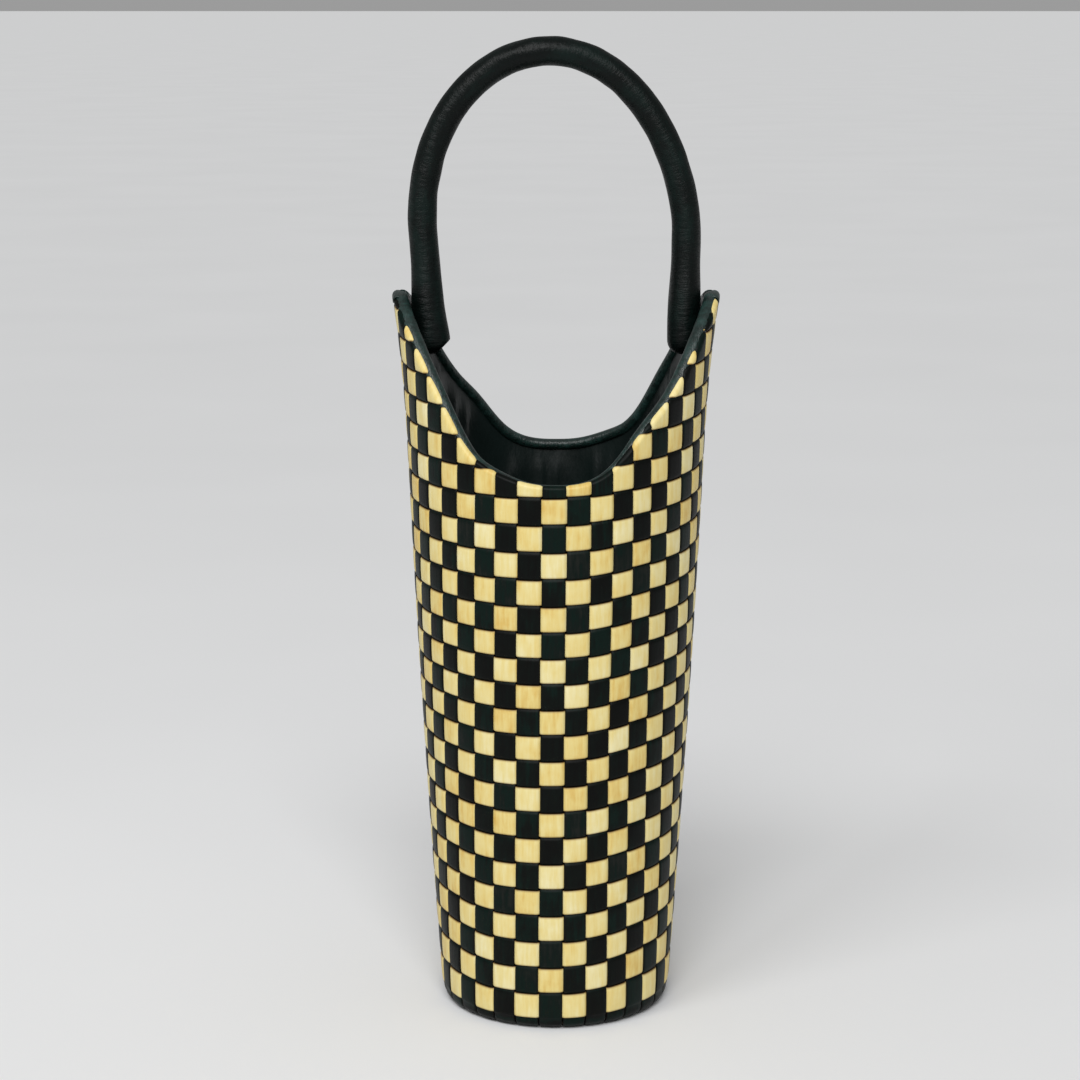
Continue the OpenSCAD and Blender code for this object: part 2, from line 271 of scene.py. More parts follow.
def place(u, v, d, back=False):
    """Points of the bag for cloth coordinates u and v and a distance d out of the wall."""
    u, v, d = (np.asarray(x, float).ravel() for x in np.broadcast_arrays(u, v, d))
    z = height(u, v)
    point, _, _, out = wall_frame(u, z)
    result = point + out * d[:, None]
    high = np.nonzero(z > RIM_LOW - 6 * ROLL_R)[0]
    if len(high):
        du = u[high, None] - RIM_US
        dz = z[high, None] - RIM_ZS
        near = np.argmin(du * du + dz * dz, 1)
        pick = np.arange(len(high))
        beyond = du[pick, near] * ACROSS_U[near] + dz[pick, near] * ACROSS_Z[near]
        arc = beyond + ROLL_R + ROLL_BELOW
        rolled = arc > 0
        slide = du[pick, near] * ACROSS_Z[near] - dz[pick, near] * ACROSS_U[near]
        high, near, arc, slide = high[rolled], near[rolled], arc[rolled], slide[rolled]
        result[high] = roll_over(near, arc, d[high], slide)
    low = np.nonzero(z < EDGE_R + BASE_LIFT)[0]
    if len(low):
        arc = EDGE_R + BASE_LIFT - z[low]
        phi = np.minimum(arc / EDGE_R, math.pi / 2)
        inward = np.maximum(arc - EDGE_R * math.pi / 2, 0)
        r = wall_r(EDGE_R) - EDGE_R * (1 - np.cos(phi)) - inward + d[low] * np.cos(phi)
        a = u[low] / wall_r(EDGE_R)
        result[low] = around(r, a, BASE_LIFT + EDGE_R * (1 - np.sin(phi)) - d[low] * np.sin(phi))
    if back:
        result[:, :2] *= -1
    return result


def roll_over(rim, arc, d, slide=0, pressed=True, straight_down=False):
    """Points on the roll over the rim: rim picks a rim point, slide is the way along the rim from
    there and arc the way past the start of the roll. Past the roll the cloth goes back down
    inside the wall, square to the rim or straight down. Pressed cloth lies lower on the roll."""
    u0 = RIM_US[rim] - (ROLL_R + ROLL_BELOW) * ACROSS_U[rim]
    z0 = RIM_ZS[rim] - (ROLL_R + ROLL_BELOW) * ACROSS_Z[rim]
    point, along, up, out = wall_frame(u0, z0)
    across = along * ACROSS_U[rim][:, None] + up * ACROSS_Z[rim][:, None]
    lengthwise = along * ACROSS_Z[rim][:, None] - up * ACROSS_U[rim][:, None]
    point = point + lengthwise * np.broadcast_to(slide, arc.shape)[:, None]
    phi = np.clip(arc / ROLL_R, 0, math.pi)[:, None]
    inside = np.maximum(arc - math.pi * ROLL_R, 0)[:, None]
    outside = np.minimum(arc, 0)[:, None]
    facing = out * np.cos(phi) + across * np.sin(phi)
    d = d * (1 - 0.4 * ease(arc / ROLL_R)) if pressed else d
    down = up if straight_down else across
    return (point + across * ROLL_R * np.sin(phi) - out * ROLL_R * (1 - np.cos(phi))
            - down * inside + down * outside + facing * d[:, None])


# ---- Mesh building ----

def turns(count):
    """Evenly spaced angles round a full turn."""
    return np.arange(count) * 2 * math.pi / count


def circle(sides, r):
    """A ring of points round the origin."""
    a = turns(sides)
    return np.stack([r * np.cos(a), r * np.sin(a)], -1)


class Mesh:
    """Collects lofted rings into one mesh with the attributes that the materials read."""

    def __init__(self, name):
        self.name = name
        self.verts = []
        self.faces = []
        self.cloth = []
        self.tone = []
        self.edge = []
        self.count = 0

    def loft(self, points, cloth=None, tone=None, edge=None, loop=False, caps=True):
        """points is (rings, points a ring, 3). loop joins the last ring to the first, and caps
        fills the first and last rings. cloth is the pattern's place in mm, or the point itself."""
        rings, n = points.shape[:2]
        start = self.count
        index = start + np.arange(rings * n).reshape(rings, n)
        a = index if loop else index[:-1]
        b = np.roll(index, -1, 0) if loop else index[1:]
        quads = np.stack([a, np.roll(a, -1, 1), np.roll(b, -1, 1), b], -1)
        self.faces.extend(quads.reshape(-1, 4).tolist())
        if caps and not loop:
            self.faces.append(index[0][::-1].tolist())
            self.faces.append(index[-1].tolist())
        flat = points.reshape(-1, 3)
        self.verts.append(flat)
        self.cloth.append(flat * 1000 if cloth is None else cloth.reshape(-1, 3))
        self.tone.append(np.full(len(flat), 0.5) if tone is None else tone.reshape(-1))
        self.edge.append(np.zeros(len(flat)) if edge is None else edge.reshape(-1))
        self.count += len(flat)

    def finish(self, material, body, replaces):
        """Makes the object, and attaches it to its body if it is given one."""
        data = bpy.data.meshes.new(self.name)
        data.from_pydata(np.concatenate(self.verts).tolist(), [], self.faces)
        data.validate()
        data.update()
        cloth = data.attributes.new("cloth", "FLOAT_VECTOR", "POINT")
        cloth.data.foreach_set("vector", np.concatenate(self.cloth).ravel())
        tone = data.attributes.new("tone", "FLOAT", "POINT")
        tone.data.foreach_set("value", np.concatenate(self.tone))
        edge = data.attributes.new("edge", "FLOAT", "POINT")
        edge.data.foreach_set("value", np.concatenate(self.edge))
        data.polygons.foreach_set("use_smooth", [True] * len(data.polygons))
        obj = bpy.data.objects.new(self.name, data)
        bpy.context.scene.collection.objects.link(obj)
        data.materials.append(material)
        recalc_normals(obj)
        if body:
            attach(obj, body)
        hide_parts(*replaces)
        return obj


def recalc_normals(obj):
    work = bmesh.new()
    work.from_mesh(obj.data)
    bmesh.ops.recalc_face_normals(work, faces=work.faces)
    work.to_mesh(obj.data)
    work.free()


def sweep(path, sections, side):
    """Rings round a path: side is the direction of each section's first coordinate."""
    path = np.asarray(path, float)
    tangent = np.gradient(path, axis=0)
    tangent /= np.linalg.norm(tangent, axis=1, keepdims=True)
    side = np.broadcast_to(np.asarray(side, float), path.shape)
    side = side - tangent * np.sum(side * tangent, 1, keepdims=True)
    side /= np.linalg.norm(side, axis=1, keepdims=True)
    other = np.cross(tangent, side)
    return path[:, None] + sections[..., :1] * side[:, None] + sections[..., 1:] * other[:, None]


# ---- Weave ----

# Where points lie across a strip, as shares of its width: close together at its rounded edges,
# or evenly for a strip that the rim cuts
PLAIN_SHARES = np.array([0, 0.012, 0.035, 0.09, 0.25, 0.5, 0.75, 0.91, 0.965, 0.988, 1])
CUT_SHARES = np.concatenate([[0, 0.02, 0.05], np.linspace(0.1, 0.9, 15), [0.95, 0.98, 1]])
# How far below the cut edge of a cross strip its points lie
CUT_STEPS = np.concatenate([[5.2, 4.5, 3.9], np.linspace(3.5, 0.7, 9), [0.4, 0.15, 0]]) * MM
# Where rings lie in each cell of the weave, as shares of the cell
CELL_STEPS = np.array([0, 0.045, 0.1, 0.18, 0.34, 0.5, 0.66, 0.82, 0.9, 0.955])
# How much of a level-cut strip's end has finer rings, and how much is sheared along the rim
FINE_END = 14 * MM
SHEARED_END = 20 * MM
ROW_BOUNDS = FIRST_ROW_V + ROW_PITCH * np.arange(ROWS + 2)


def section(low, high, across):
    """Points across a strip's top, then back along its underside, from its low edge to its high
    one. Gives where they lie, how far out of the strip's middle, and how close to a cut edge."""
    low, high = low[:, None], high[:, None]
    inside = np.minimum(across - low, high - across) / MM
    share = (2 * across - low - high) / (high - low)
    rise = np.interp(inside, [0, 0.12, 0.35, 0.9], [-0.5, 0.3, 0.75, 1]) * STRIP_T / 2
    rise = rise + (1 - share * share) * CROWN
    # How close each point is to the strip's edge: the materials paint the shade of the gaps
    # between strips there, and on the underside
    edge = np.interp(inside, [0.12, 0.35, 0.6], [1, 0.45, 0])
    under = high + (low - high) * np.array([0.08, 0.5, 0.92])
    across = np.concatenate([across, under], 1)
    rise = np.concatenate([rise, np.full(under.shape, -STRIP_T / 2)], 1)
    edge = np.concatenate([edge, np.ones(under.shape)], 1)
    return across, rise, edge


def wave(position, boundaries, over):
    """Height of a strip's middle at each position. It is over in the cells that over says, and
    crosses to the other side within a short way of each boundary."""
    cell = np.clip(np.searchsorted(boundaries, position, side="right") - 1, 0, len(boundaries) - 2)
    low = position - boundaries[cell]
    high = boundaries[cell + 1] - position
    gap = np.clip(np.minimum(low, high) / CROSSING, 0, 1)
    sign = np.where(over[cell], 1.0, -1.0)
    share = np.clip(low / (boundaries[cell + 1] - boundaries[cell]), 0, 1)
    dome = np.where(over[cell], PILLOW * (1 - (2 * share - 1) ** 4), 0)
    return sign * WAVE * np.sin(gap * math.pi / 2) + dome, cell


def strip_rings(mesh, u, v, d, tone, edge, back):
    """Adds one strip: u, v and d are (rings, points of a section)."""
    points = place(u, v, d, back).reshape(u.shape + (3,))
    cloth = np.stack([u, v, np.full_like(u, 1.0 if back else 0.0)], -1) * 1000
    mesh.loft(points, cloth, np.broadcast_to(tone[:, None], u.shape), edge)


def cell_tone(column, row, back):
    """One cell's tone from 0 to 1, the same each run."""
    return random.Random(column * 7919 + row * 104729 + (17 if back else 0)).random()


def add_warp(mesh, k, back):
    """One upright dark strip, from under the base to the inside of the rim."""
    steps = (ROW_BOUNDS[:-1, None] + CELL_STEPS * ROW_PITCH).ravel()
    v = np.concatenate([TURN_UNDER, steps])
    middle = (column_edge(k, 0.15) + column_edge(k + 1, 0.15)) / 2
    level_cut = abs(k) <= LEVEL_COLUMNS
    if level_cut:
        end = float(cut_v(middle))
        fine = end - FINE_END
        v = np.concatenate([v[v < fine], np.linspace(fine, end, 40)])
    z = height(np.full_like(v, middle), v)
    lo = column_edge(k, z) + COLUMN_GAP / 2
    hi = column_edge(k + 1, z) - COLUMN_GAP / 2
    lo, hi = np.maximum(lo, -strip_end(z)), np.minimum(hi, strip_end(z))
    if not level_cut:
        if middle > 0:
            lo = np.maximum(lo, cut_u(z, 1))
        else:
            hi = np.minimum(hi, -cut_u(z, -1))
    keep = hi - lo > MIN_STRIP
    if keep.sum() < MIN_RINGS:
        return
    v, lo, hi = v[keep], lo[keep], hi[keep]
    over = np.array([(k + j) % 2 == 0 for j in range(ROWS + 1)])
    shares = PLAIN_SHARES if level_cut else CUT_SHARES
    u, rise, edge = section(lo, hi, lo[:, None] + (hi - lo)[:, None] * shares)
    vs = np.broadcast_to(v[:, None], u.shape)
    if level_cut:
        # The last rings are sheared, so that the end runs along the rim
        vs = vs + (cut_v(u) - end) * ease((vs - end + SHEARED_END) / SHEARED_END)
    level, row = wave(vs, ROW_BOUNDS, over)
    below = vs < FIRST_ROW_V
    level = np.where(below, 0.1 * MM * ease((FIRST_ROW_V - vs) / CROSSING), level)
    # Each ring has the tone of the cell it is in, and the part turned under has its own
    row = np.where(v < FIRST_ROW_V, -1, row[:, len(PLAIN_SHARES) // 2])
    tone = np.array([cell_tone(k, int(j), back) for j in row])
    strip_rings(mesh, u, vs, level + rise, tone, edge, back)


def add_weft(mesh, j, back):
    """One cream cross strip from seam to seam, in two pieces where the rim has cut it."""
    v0 = FIRST_ROW_V + j * ROW_PITCH + ROW_GAP / 2
    v1 = v0 + ROW_PITCH - ROW_GAP
    middle = (v0 + v1) / 2
    bounds = np.array([column_edge(i, middle) for i in range(-LAST_COLUMN, LAST_COLUMN + 2)])
    u = (bounds[:-1, None] + CELL_STEPS * np.diff(bounds)[:, None]).ravel()
    rim_row = v1 > RIM_LOW - 8 * MM
    if rim_row:
        u = np.sort(np.concatenate([u, np.linspace(u[0], u[-1], 480)]))
    z = height(u, np.full_like(u, middle))
    top = np.minimum(v1, middle + cut_z(u) - z)
    keep = (np.abs(u) < strip_end(z)) & (top - v0 > MIN_STRIP)
    over = np.array([(k + j) % 2 == 1 for k in range(-LAST_COLUMN, LAST_COLUMN + 1)])
    for piece in split_runs(keep):
        if len(piece) < MIN_RINGS:
            continue
        level, cell = wave(u[piece], bounds, over)
        high = top[piece]
        tall = (high - v0)[:, None]
        if rim_row:
            steps = CUT_STEPS * np.minimum(1, tall / (6.5 * MM))
            lower = (tall - steps[:, :1]) * np.array([0, 0.03, 0.1, 0.3, 0.65])
            across = np.concatenate([v0 + lower, high[:, None] - steps], 1)
        else:
            across = v0 + tall * PLAIN_SHARES
        v, rise, edge = section(np.full_like(high, v0), high, across)
        tone = np.array([cell_tone(int(c) - LAST_COLUMN, j, back) for c in cell])
        strip_rings(mesh, np.broadcast_to(u[piece][:, None], v.shape), v,
                    level[:, None] + rise, tone, edge, back)


def split_runs(keep):
    """The unbroken runs of positions that are kept."""
    index = np.nonzero(keep)[0]
    if not len(index):
        return []
    return np.split(index, np.nonzero(np.diff(index) > 1)[0] + 1)


def build_weave(cream, green):
    """The cream cross strips, row by row, and the dark upright ones, in three groups a panel."""
    for j, name in enumerate(row_names):
        mesh = Mesh("cream_weft_%02d" % (j + 1))
        add_weft(mesh, j, False)
        add_weft(mesh, j, True)
        mesh.finish(cream, "bag", [name])
    groups = {"left": range(-LAST_COLUMN, -CENTRE_COLUMNS),
              "centre": range(-CENTRE_COLUMNS, CENTRE_COLUMNS + 1),
              "right": range(CENTRE_COLUMNS + 1, LAST_COLUMN + 1)}
    for face in ("front", "back"):
        for side, columns in groups.items():
            mesh = Mesh("green_warps_%s_%s" % (face, side))
            for k in columns:
                add_warp(mesh, k, face == "back")
            mesh.finish(green, "bag", ["warps_%s_%s" % (face, side)])


# ---- Seams, rim and lining ----

def build_side_seams(green):
    """A folded strip covers the joint of the two panels and rolls over the peak with them."""
    v = np.concatenate([TURN_UNDER, np.linspace(5 * MM, 0.30, 60), np.linspace(0.302, 0.327, 22)])
    s = np.array([-1, -0.9, -0.6, 0, 0.6, 0.9, 1, 0.5, -0.5])
    rise = np.array([0.1, 0.5, 0.8, 0.95, 0.8, 0.5, 0.1, -0.3, -0.3]) * MM
    for side, sign in (("left", -1), ("right", 1)):
        z = v - 0.5 * MM
        edge = sign * seam_u(z)
        u = edge[:, None] + s * SEAM_HALF_W
        shift = height(edge, v) - v
        mesh = Mesh("side_seam_strip_" + side)
        points = place(u, (v - shift)[:, None], rise).reshape(len(v), len(s), 3)
        mesh.loft(points, np.stack(np.broadcast_arrays(u, v[:, None], 0), -1) * 1000)
        mesh.finish(green, "bag", ["side_seam_" + side])


# The binding is a roll. In the middle of the front it lies behind the strips, this thick and this
# far in; towards the peaks it is fuller, higher and further out, and covers the strips' ends. The
# back's is nearly so all along.
BINDING_HALF_H = 2.6 * MM
BINDING_HALF_T = 2.5 * MM
BINDING_DOWN = 2.0 * MM
BINDING_IN = 0.9 * MM
FULLER = 0.45 * MM
HIGHER = 0.8 * MM
FURTHER_OUT = 1.15 * MM
BACK_OUTWARD = 0.8


def rim_frames(count):
    """Points along one panel's rim, with the directions across it and out of the wall."""
    pick = np.unique(np.linspace(18, len(RIM_US) - 19, count).astype(int))
    point, along, up, out = wall_frame(RIM_US[pick], RIM_ZS[pick])
    across = along * ACROSS_U[pick][:, None] + up * ACROSS_Z[pick][:, None]
    return point, across, out


def build_rim_binding(leather, thread):
    """The uneven leather roll along each panel's rim, and the stitches inside it."""
    stitch_mesh = Mesh("rim_binding_stitches")
    for face, sign in (("front", 1), ("back", -1)):
        point, across, out = rim_frames(150)
        outward = ease((np.abs(np.arctan2(point[:, 0], -point[:, 1])) - 0.2) / 0.45)[:, None]
        if face == "back":
            outward = np.maximum(outward, BACK_OUTWARD)
        half_t = BINDING_HALF_T + FULLER * outward
        sink = BINDING_DOWN + HIGHER * (1 - outward)
        centre = point - out * (half_t + BINDING_IN - FURTHER_OUT * outward) - across * sink
        n = len(centre)
        lumps = np.array([noise.noise(Vector((i * 0.22, 3.0 * sign, 0))) for i in range(n)])
        ring = circle(16, 1)
        thick = half_t * (1 + 0.12 * lumps)[:, None]
        points = (centre[:, None] + ring[:, :1] * thick[..., None] * out[:, None]
                  + ring[:, 1:] * BINDING_HALF_H * across[:, None])
        mesh = Mesh("rim_roll_" + face)
        mesh.loft(points * np.array([sign, sign, 1]))
        mesh.finish(leather, "bag", ["rim_binding_" + face])
        inner = centre - out * thick * 0.96 - across * 0.7 * MM
        for i in range(2, n - 3, 3):
            a, b = inner[i] * [sign, sign, 1], inner[i + 1] * [sign, sign, 1]
            add_stitch(stitch_mesh, a, b, 0.24 * MM)
    stitch_mesh.finish(thread, "bag", ["rim_stitches"])


def add_stitch(mesh, a, b, r):
    """A short thread, thickest in its middle, from a to b."""
    a, b = np.asarray(a, float), np.asarray(b, float)
    share = np.array([0, 0.12, 0.3, 0.7, 0.88, 1])
    size = np.array([0.35, 0.8, 1, 1, 0.8, 0.35]) * r
    path = a + (b - a) * share[:, None]
    side = np.cross(b - a, [0.3, 0.2, 1.0])
    mesh.loft(sweep(path, circle(8, 1) * size[:, None, None], side))


LINING_IN = 3.7 * MM
LINING_TOP_DOWN = BINDING_DOWN + 1.4 * MM
FOLD_DEPTH = 0.85 * MM
FLOOR_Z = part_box("lining_floor")[1].z


def lining_fold(angle, z):
    """How far the lining stands in from the wall: broad waves, slanting ones and creases."""
    x, y = math.sin(angle), math.cos(angle)
    broad = noise.noise(Vector((x * 3.1, y * 3.1, z * 9)))
    slant = noise.noise(Vector((x * 7 + z * 22, y * 7 - z * 14, z * 30 + 5)))
    crease = 1 - abs(noise.noise(Vector((x * 5 - z * 10, y * 5 + z * 12, z * 16 + 9))))
    return 0.8 * broad + 0.7 * slant + 1.6 * (crease ** 4 - 0.5)


def build_lining(satin):
    """The lining tube hangs inside the wall in shallow folds, which die out at its two ends."""
    angle = turns(288)
    # Angles from the middle of each panel: the back panel is the front one turned half round
    within = np.where(np.cos(angle) > 0, np.arcsin(np.sin(angle)), -np.arcsin(np.sin(angle)))
    top = rim_z(within) - LINING_TOP_DOWN
    share = np.linspace(0, 1, 84)
    bottom = FLOOR_Z + 0.3 * MM
    z = bottom + (top - bottom) * share[:, None]
    fold = np.array([[lining_fold(a, h) for a, h in zip(angle, row)] for row in z])
    calm = ease(share / 0.06) * ease((1 - share) / 0.05)
    inset = LINING_IN + (1.0 + fold) * FOLD_DEPTH * calm[:, None]
    r = wall_r(z) - np.maximum(inset, LINING_IN)
    mesh = Mesh("satin_lining")
    mesh.loft(around(r, angle, z), caps=False)
    obj = mesh.finish(satin, "bag", ["lining"])


def build_lining_floor(satin):
    """A satin disc, slightly dimpled, on the base board."""
    radius = np.linspace(0.2 * MM, float(wall_r(FLOOR_Z)) - LINING_IN - 0.2 * MM, 26)
    angle = turns(96)
    x = radius[:, None] * np.sin(angle)
    y = -radius[:, None] * np.cos(angle)
    dimple = np.array([[noise.noise(Vector((px * 60, py * 60, 2))) for px, py in zip(*row)]
                       for row in zip(x, y)])
    z = FLOOR_Z + 0.25 * MM + 0.35 * MM * dimple * ease((1 - radius / radius[-1]) * 4)[:, None]
    mesh = Mesh("satin_floor")
    mesh.loft(np.stack([x, y, z], -1), caps=False)
    obj = mesh.finish(satin, "bag", ["lining_floor"])


# ---- Base ----

# The disc's radius and its groove's, in mm, before it is fitted to the wall
DISC_R = 45.2
GROOVE_R = 42.1
BASE_STITCHES = 60


def build_base(leather, thread):
    """The leather disc under the base, with a stitched groove near its edge."""
    outer = BASE_R - EDGE_R - 0.4 * MM
    # Radius and height of each corner of its section, in mm: out along the underside from a
    # pinhole in the middle, over the groove and up round the edge
    profile = np.array([
        (0.4, 0.95), (0.4, 0.30), (12, 0.22), (26, 0.14), (38, 0.08), (41.2, 0.05), (41.8, 0.3),
        (42.4, 0.3), (43, 0.05), (44.2, 0.05), (44.9, 0.25), (DISC_R, 0.6), (44.9, 0.95)]) * MM
    profile[:, 0] *= outer / (DISC_R * MM)
    mesh = Mesh("base_leather")
    mesh.loft(around(profile[:, :1], turns(96), profile[:, 1:]), loop=True)
    mesh.finish(leather, "bag", ["base_cover"])
    stitches = Mesh("base_thread")
    r, z = outer * GROOVE_R / DISC_R, 0.32 * MM
    for a0 in turns(BASE_STITCHES):
        a1 = a0 + 2 * math.pi / BASE_STITCHES * 0.62
        add_stitch(stitches, (r * math.sin(a0), r * math.cos(a0), z),
                   (r * math.sin(a1), r * math.cos(a1), z), 0.26 * MM)
    stitches.finish(thread, "bag", ["base_stitches"])


# ---- Handle ----

# Where it ends and how its arch runs
HANDLE_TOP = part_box("handle_cover")[1].z
PIVOT_Z = (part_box("handle_tack_right")[0].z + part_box("handle_tack_right")[1].z) / 2
END_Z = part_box("handle_tip_right")[0].z - 2 * MM
HANDLE_R = 6.4 * MM
ARCH_HALF_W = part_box("handle_cover")[1].x - HANDLE_R
ARCH_Z = 0.348
ARCH_H = HANDLE_TOP - HANDLE_R - ARCH_Z
END_X = (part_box("handle_tip_right")[0].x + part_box("handle_tip_right")[1].x) / 2
HANDLE_LEAN = -3 * MM
LEG_PART = 0.24
# The flattened ends, which close over the last few millimetres
END_HALF_T = 7.4 * MM
END_HALF_W = 9 * MM
FLAT_FROM, FLAT_TO = 0.80, 0.93
CLOSING_H = 7 * MM
# Puffs along the sleeve, and the groove that its seam draws in
PUFF = 0.05
GROOVE, GROOVE_W = 0.1, 0.16
PADDING_R = 5.1 * MM
# Its stitches
STITCH_PITCH = 4 * MM
STITCH_LENGTH = 2.5 * MM
BARE_STITCHES = 8


def lengths(path):
    """How far along the path each of its points is."""
    return np.cumsum(np.concatenate([[0], np.linalg.norm(np.diff(path, axis=0), axis=1)]))


def handle_path(t):
    """The handle's middle line, from the left end (-1) over the arch to the right end (1)."""
    s, side = np.abs(t), np.sign(t)
    f = np.clip((s - 1 + LEG_PART) / LEG_PART, 0, 1)
    b = math.pi / 2 * np.minimum(s / (1 - LEG_PART), 1)
    x = np.where(f > 0, ARCH_HALF_W + (END_X - ARCH_HALF_W) * np.sin(f * math.pi / 2),
                 ARCH_HALF_W * np.sin(b))
    z = np.where(f > 0, ARCH_Z - (ARCH_Z - END_Z) * f, ARCH_Z + ARCH_H * np.cos(b))
    lean = HANDLE_LEAN * ease((z - 0.32) / 0.09)
    return np.stack([side * x + lean, np.zeros_like(t), z], -1)


def handle_section(t, sides):
    """Sections across and along the wall: round on the arch, flattened and closed at the ends."""
    s = np.abs(t)
    flat = ease((s - FLAT_FROM) / (FLAT_TO - FLAT_FROM))
    above = np.maximum(handle_path(t)[:, 2] - END_Z, 0.02 * MM)
    closing = np.clip(1 - above / CLOSING_H, 0, 1)
    close = np.where(s < FLAT_FROM, 1, np.sqrt(1 - closing ** 2.4))
    a = turns(sides)
    puff = np.array([[noise.noise(Vector((ti * 16, math.cos(ai), math.sin(ai)))) for ai in a]
                     for ti in t])
    r = 1 + PUFF * puff
    half_t = (HANDLE_R * (1 - flat) + END_HALF_T * flat) * close
    half_w = (HANDLE_R * (1 - flat) + END_HALF_W * flat) * close
    groove = 1 - GROOVE * np.exp(-((a - math.pi) / GROOVE_W) ** 2)
    return np.stack([half_t[:, None] * np.cos(a) * r * groove,
                     half_w[:, None] * np.sin(a) * r * groove], -1)


def turn_left_end_under(points):
    """The left end is fuller on its inner side, and is turned under aslant there."""
    x, z = points[..., 0], points[..., 2]
    left_end = ease((0.318 - z) / 0.02) * (x < 0)
    x += 2.2 * MM * ease((x + 0.056) / 0.006) * left_end
    slant = END_Z - 1.5 * MM + np.maximum(0, x + 0.0545)
    points[..., 2] = np.where(left_end > 0.5, np.maximum(z, slant), z)


def handle_sleeve(sides):
    """The sleeve's rings from its left end to its right, and their places in its pattern."""
    main = np.linspace(-0.9, 0.9, 150)
    ends = np.array([0.915, 0.93, 0.945, 0.957, 0.967, 0.975, 0.982, 0.988, 0.993, 0.9965, 0.999])
    t = np.concatenate([-ends[::-1], main, ends])
    path = handle_path(t)
    tangent = np.gradient(path, axis=0)
    # The direction away from the middle of the arch
    outward = np.stack([-tangent[:, 2], np.zeros_like(t), tangent[:, 0]], -1)
    points = sweep(path, handle_section(t, sides), outward)
    turn_left_end_under(points)
    a = turns(sides)
    cloth = np.stack(np.broadcast_arrays(lengths(path)[:, None], HANDLE_R * np.cos(a),
                                         HANDLE_R * np.sin(a)), -1)
    return points, cloth * 1000


def build_handle(leather, padding, thread):
    """The padded sleeve with its closed ends, the padding inside it and the seam's stitches."""
    points, cloth = handle_sleeve(36)
    mesh = Mesh("padded_handle")
    mesh.loft(points, cloth)
    handle = mesh.finish(leather, None,
                         ["handle_cover", "handle_tip_left", "handle_tip_right"])
    inside = Mesh("handle_padding")
    inner_t = np.linspace(-0.895, 0.895, 110)
    inside.loft(sweep(handle_path(inner_t), circle(20, PADDING_R), (0, 1, 0)))
    core = inside.finish(padding, None, ["handle_core"])
    stitches = Mesh("handle_thread")
    # The seam runs along the arch's inner side, half a turn from each ring's first point
    seam = points[:, points.shape[1] // 2]
    length = lengths(seam)
    for i in range(BARE_STITCHES, int(length[-1] / STITCH_PITCH) - BARE_STITCHES):
        start = i * STITCH_PITCH
        a0, a1 = (np.array([np.interp(x, length, seam[:, c]) for c in range(3)])
                  for x in (start, start + STITCH_LENGTH))
        add_stitch(stitches, a0, a1, 0.28 * MM)
    thread_piece = stitches.finish(thread, None, ["handle_stitches"])
    for piece in (handle, core, thread_piece):
        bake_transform(piece)


def build_handle_fixings(leather, thread, felt):
    """The patch, felt pad and thread tack that hold each end of the handle."""
    for side, sign in (("left", -1), ("right", 1)):
        build_peak_patch(leather, side, sign)
        low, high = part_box("handle_pad_" + side)
        x0, x1 = (low.x, high.x) if sign > 0 else (high.x, low.x)
        r = (high.z - low.z) / 2
        # Radius and depth of the rounded disc, as shares of the whole
        disc = np.array([(0.05, 0), (0.8, 0), (0.95, 0.2), (1, 0.5), (0.95, 0.8), (0.8, 1),
                         (0.05, 1)])
        angle = turns(40)
        points = np.stack(np.broadcast_arrays(
            x0 + (x1 - x0) * disc[:, 1:],
            r * disc[:, :1] * np.cos(angle),
            PIVOT_Z + r * disc[:, :1] * np.sin(angle)), -1)
        pad = Mesh("felt_pad_" + side)
        pad.loft(points)
        pad.finish(felt, "bag", ["handle_pad_" + side])
        build_tack(thread, side)


def build_tack(thread, side):
    """The tack is a bundle of threads twisted round each other."""
    low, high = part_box("handle_tack_" + side)
    r = (high.z - low.z) / 2
    x = np.linspace(low.x, high.x, 28)
    bundle = Mesh("thread_tack_" + side)
    strands, twists = 5, 1.5
    for i in range(strands):
        turn = 2 * math.pi * (i / strands + twists * (x - x[0]) / (x[-1] - x[0]))
        path = np.stack([x, 0.6 * r * np.cos(turn), PIVOT_Z + 0.6 * r * np.sin(turn)], -1)
        bundle.loft(sweep(path, circle(10, 0.38 * r), (0, 1, 0.01)))
    bundle.finish(thread, "bag", ["handle_tack_" + side])


def build_peak_patch(leather, side, sign):
    """A leather tab folded over the peak: short outside, and down behind the handle's end."""
    arc = np.concatenate([np.linspace(-1.6, -0.3, 3) * MM, np.linspace(0, math.pi, 12) * ROLL_R,
                          math.pi * ROLL_R + np.linspace(2, 30, 15) * MM])
    across = np.linspace(-1, 1, 17)
    # Half its width, as an angle round the bag
    half = np.interp(arc, [-1.6 * MM, 0, 20 * MM], [0.10, 0.13, 0.17])
    faces = []
    for level in (1.35 * MM, 0.75 * MM):
        grid = []
        for i, a in enumerate(arc):
            angle = math.pi / 2 + half[i] * across
            folded = np.where(angle > math.pi / 2, math.pi - angle, angle)
            pick = np.clip(np.searchsorted(RIM_ANGLES, folded), 0, len(RIM_ANGLES) - 1)
            p = roll_over(pick, np.full(len(pick), a), np.full(len(pick), level), 0, False, True)
            p[:, 1] = np.where(angle > math.pi / 2, -p[:, 1], p[:, 1])
            grid.append(p)
        faces.append(np.array(grid))
    outer, inner = faces
    points = np.concatenate([outer, inner[:, ::-1]], 1) * np.array([sign, sign, 1])
    mesh = Mesh("peak_patch_" + side)
    mesh.loft(points)
    mesh.finish(leather, "bag", ["handle_patch_" + side])


# ---- Materials ----

